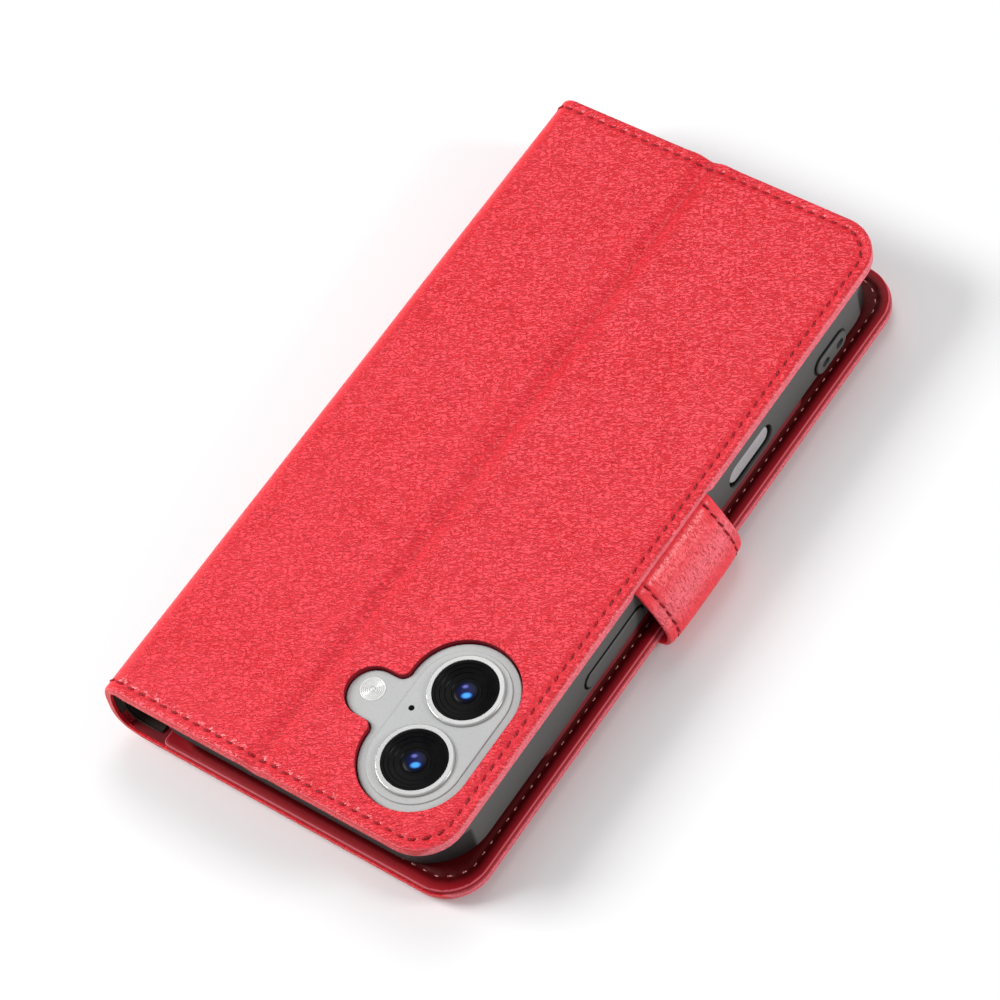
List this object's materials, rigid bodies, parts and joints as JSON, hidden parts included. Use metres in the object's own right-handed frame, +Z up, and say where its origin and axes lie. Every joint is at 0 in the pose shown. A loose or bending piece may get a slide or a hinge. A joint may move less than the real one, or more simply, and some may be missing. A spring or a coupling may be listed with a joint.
{
  "type": "phone wallet case",
  "caption": "Closed book-style phone wallet case: folding leather cover with stand crease, wrap strap, card slots and a flexible shell holding a phone.",
  "frame": {"origin": "centre of the closed case's outline, on the surface that it lies on", "axes": "+Z up through the thickness, front cover down and back cover up; +Y along the length, away from the cameras; +X from the spine to the clasp strap"},
  "size_m": [0.0844, 0.155, 0.0192],
  "materials": {
    "red_leather": "fine pebbled grain, satin",
    "inner_leather": "smooth, satin",
    "cover_board": "stiff pressed board",
    "shell_grey": "matte flexible shell",
    "phone_metal": "satin",
    "phone_back": "frosted glass",
    "phone_screen": "polished black glass",
    "phone_inside": "plain",
    "lens_ring": "polished edge",
    "lens_black": "coated glass",
    "flash_white": "ribbed clear lens",
    "magnet_steel": "plated"
  },
  "bodies": {
    "phone_side": {"phone_shell": "shell_grey", "back_skin_main": "red_leather", "back_board_main": "cover_board", "back_lining_main": "inner_leather", "phone_frame": "phone_metal", "phone_core": "phone_inside", "phone_back_glass": "phone_back", "phone_screen_glass": "phone_screen", "camera_island": "phone_back", "camera_plateau": "phone_back", "lens_ring_upper": "lens_ring", "lens_ring_lower": "lens_ring", "lens_glass_upper": "lens_black", "lens_glass_lower": "lens_black", "flash_lens": "flash_white", "strap_root": "red_leather"},
    "back_flap": {"back_skin_flap": "red_leather", "back_board_flap": "cover_board", "back_lining_flap": "inner_leather", "crease_bend": "red_leather"},
    "spine": {"spine_skin": "red_leather", "spine_board": "cover_board", "spine_lining": "inner_leather", "spine_top_bend": "red_leather"},
    "front_cover": {"front_skin": "red_leather", "front_board": "cover_board", "front_lining": "inner_leather", "cash_pocket": "inner_leather", "card_slot_1": "inner_leather", "card_slot_2": "inner_leather", "card_slot_3": "inner_leather", "clasp_plate": "magnet_steel", "spine_low_bend": "red_leather"},
    "strap": {"strap_skin": "red_leather", "strap_lining": "red_leather", "strap_root_bend": "red_leather"},
    "strap_tab": {"tab_skin": "red_leather", "tab_lining": "inner_leather", "tab_magnet": "magnet_steel", "strap_bend": "red_leather"},
    "power_button": {"power_pad": "shell_grey", "power_key": "phone_metal"},
    "action_button": {"action_pad": "shell_grey", "action_key": "phone_metal"},
    "volume_up_button": {"volume_up_pad": "shell_grey", "volume_up_key": "phone_metal"},
    "volume_down_button": {"volume_down_pad": "shell_grey", "volume_down_key": "phone_metal"},
    "camera_control_button": {"camera_control": "phone_metal"}
  },
  "joints": [
    {"name": "crease_fold", "type": "hinge", "parent": "phone_side", "child": "back_flap", "pos_m": [-0.00487, 0, 0.0192], "axis": [0, 1, 0], "range_deg": [0, 30], "deforming": ["crease_bend"]},
    {"name": "spine_fold", "type": "hinge", "parent": "back_flap", "child": "spine", "pos_m": [-0.04027, 0, 0.0175], "axis": [0, 1, 0], "range_deg": [0, 120], "deforming": ["spine_top_bend"]},
    {"name": "front_fold", "type": "hinge", "parent": "spine", "child": "front_cover", "pos_m": [-0.04038, 0, 0.0044], "axis": [0, 1, 0], "range_deg": [0, 180], "deforming": ["spine_low_bend"]},
    {"name": "strap_fold", "type": "hinge", "parent": "phone_side", "child": "strap", "pos_m": [0.03592, 0, 0.0166], "axis": [0, -1, 0], "range_deg": [0, 110], "deforming": ["strap_root_bend"]},
    {"name": "tab_fold", "type": "hinge", "parent": "strap", "child": "strap_tab", "pos_m": [0.03957, 0, 0.0026], "axis": [0, -1, 0], "range_deg": [0, 90], "deforming": ["strap_bend"]},
    {"name": "power_press", "type": "slide", "parent": "phone_side", "child": "power_button", "axis": [-1, 0, 0], "range_m": [0, 0.0003], "stiffness_N_per_m": 2000},
    {"name": "action_press", "type": "slide", "parent": "phone_side", "child": "action_button", "axis": [1, 0, 0], "range_m": [0, 0.0003], "stiffness_N_per_m": 2000},
    {"name": "volume_up_press", "type": "slide", "parent": "phone_side", "child": "volume_up_button", "axis": [1, 0, 0], "range_m": [0, 0.0003], "stiffness_N_per_m": 2000},
    {"name": "volume_down_press", "type": "slide", "parent": "phone_side", "child": "volume_down_button", "axis": [1, 0, 0], "range_m": [0, 0.0003], "stiffness_N_per_m": 2000},
    {"name": "camera_control_press", "type": "slide", "parent": "phone_side", "child": "camera_control_button", "axis": [-1, 0, 0], "range_m": [0, 0.0002], "stiffness_N_per_m": 2000}
  ],
  "couplings": [
    {"joint": "crease_fold", "follows": "spine_fold", "ratio": 0.25}
  ]
}
